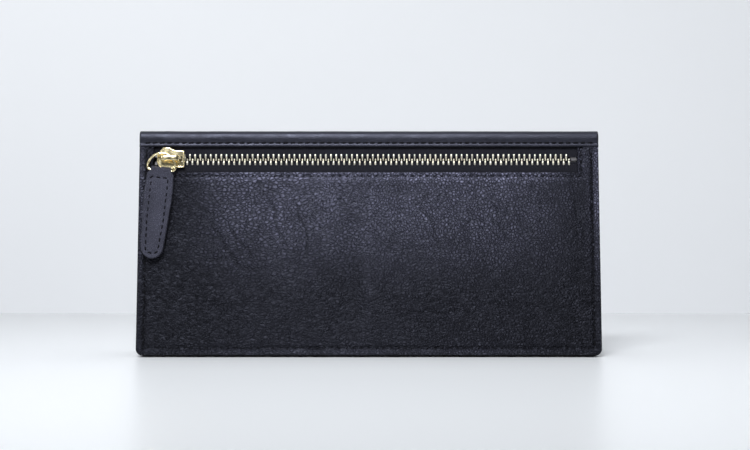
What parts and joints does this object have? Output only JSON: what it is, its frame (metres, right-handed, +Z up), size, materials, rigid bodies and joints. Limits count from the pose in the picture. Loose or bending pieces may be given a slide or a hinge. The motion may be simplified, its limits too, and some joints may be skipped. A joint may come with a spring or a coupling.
{
  "type": "long leather wallet",
  "caption": "Slim bi-fold long wallet in pebbled dark leather, standing open on its edges, with a zipped front pocket, ring and leather puller.",
  "frame": {"origin": "middle of the floor area that the open wallet covers, on the floor", "axes": "+X along the fold, to the right as the zipped front is seen; +Y to the back, through both leaves; +Z up"},
  "size_m": [0.19, 0.038, 0.0928],
  "materials": {
    "smooth_leather": "smooth semi-gloss dark navy leather",
    "pebbled_leather": "pebbled navy-black leather with satin sheen",
    "puller_leather": "matt fine-grained dark leather",
    "inner_leather": "smooth matt dark leather",
    "board": "bonded fibre board",
    "lining_fabric": "plain woven polyester",
    "zip_tape": "herringbone woven tape",
    "thread": "waxed twisted thread",
    "gold_metal": "polished pale gold plating",
    "spring_steel": "satin",
    "stop_metal": "satin grey"
  },
  "bodies": {
    "front_leaf": {"front_band": "smooth_leather", "band_thread": "thread", "band_stiffener": "board", "front_pocket_panel": "pebbled_leather", "front_perimeter_thread": "thread", "zip_window_thread": "thread", "zip_tape_upper": "zip_tape", "zip_tape_lower": "zip_tape", "zip_teeth_upper": "gold_metal", "zip_teeth_lower": "gold_metal", "zip_top_stops": "gold_metal", "zip_bottom_stop": "stop_metal", "front_pocket_lining": "lining_fabric", "pocket_welt_left": "inner_leather", "pocket_welt_right": "inner_leather", "pocket_welt_bottom": "inner_leather", "pocket_welt_top": "inner_leather", "pocket_lining_back": "lining_fabric", "front_board": "board", "front_inner_base": "inner_leather", "front_card_slot_upper": "inner_leather", "front_card_slot_middle": "inner_leather", "front_card_slot_lower": "inner_leather", "front_slot_divider_thread": "thread"},
    "spine": {"spine_leather": "smooth_leather", "spine_lining": "lining_fabric"},
    "rear_leaf": {"rear_cover": "pebbled_leather", "rear_perimeter_thread": "thread", "rear_board": "board", "rear_lining": "lining_fabric", "note_welt_left": "inner_leather", "note_welt_right": "inner_leather", "note_welt_bottom": "inner_leather", "rear_inner_base": "inner_leather", "rear_card_slot_upper": "inner_leather", "rear_card_slot_middle": "inner_leather", "rear_card_slot_lower": "inner_leather", "rear_slot_divider_thread": "thread"},
    "slider": {"slider_body": "gold_metal", "slider_cap": "gold_metal", "slider_lock_spring": "spring_steel"},
    "ring": {"pull_ring": "gold_metal"},
    "puller": {"puller_leather": "puller_leather", "puller_filler": "puller_leather", "puller_thread": "thread"}
  },
  "joints": [
    {"name": "spine_fold_front", "type": "hinge", "parent": "front_leaf", "child": "spine", "pos_m": [0, -0.00697, 0.0922], "axis": [1, 0, 0], "range_deg": [-7.5, 82.5]},
    {"name": "spine_fold_rear", "type": "hinge", "parent": "spine", "child": "rear_leaf", "pos_m": [0, 0.00633, 0.0922], "axis": [1, 0, 0], "range_deg": [-7.5, 82.5]},
    {"name": "zip_slide", "type": "slide", "parent": "front_leaf", "child": "slider", "axis": [1, 0, 0], "range_m": [0, 0.158], "deforming": ["zip_teeth_upper", "zip_teeth_lower"]},
    {"name": "ring_swing", "type": "hinge", "parent": "slider", "child": "ring", "pos_m": [-0.08095, -0.01076, 0.08141], "axis": [-0.624, 0.102, 0.7747], "range_deg": [0, 90]},
    {"name": "puller_swing", "type": "hinge", "parent": "ring", "child": "puller", "pos_m": [-0.08555, -0.01142, 0.0764], "axis": [-0.9954, 0.0125, 0.095], "range_deg": [0, 90]}
  ],
  "couplings": [
    {"joint": "spine_fold_rear", "follows": "spine_fold_front", "ratio": 1}
  ]
}
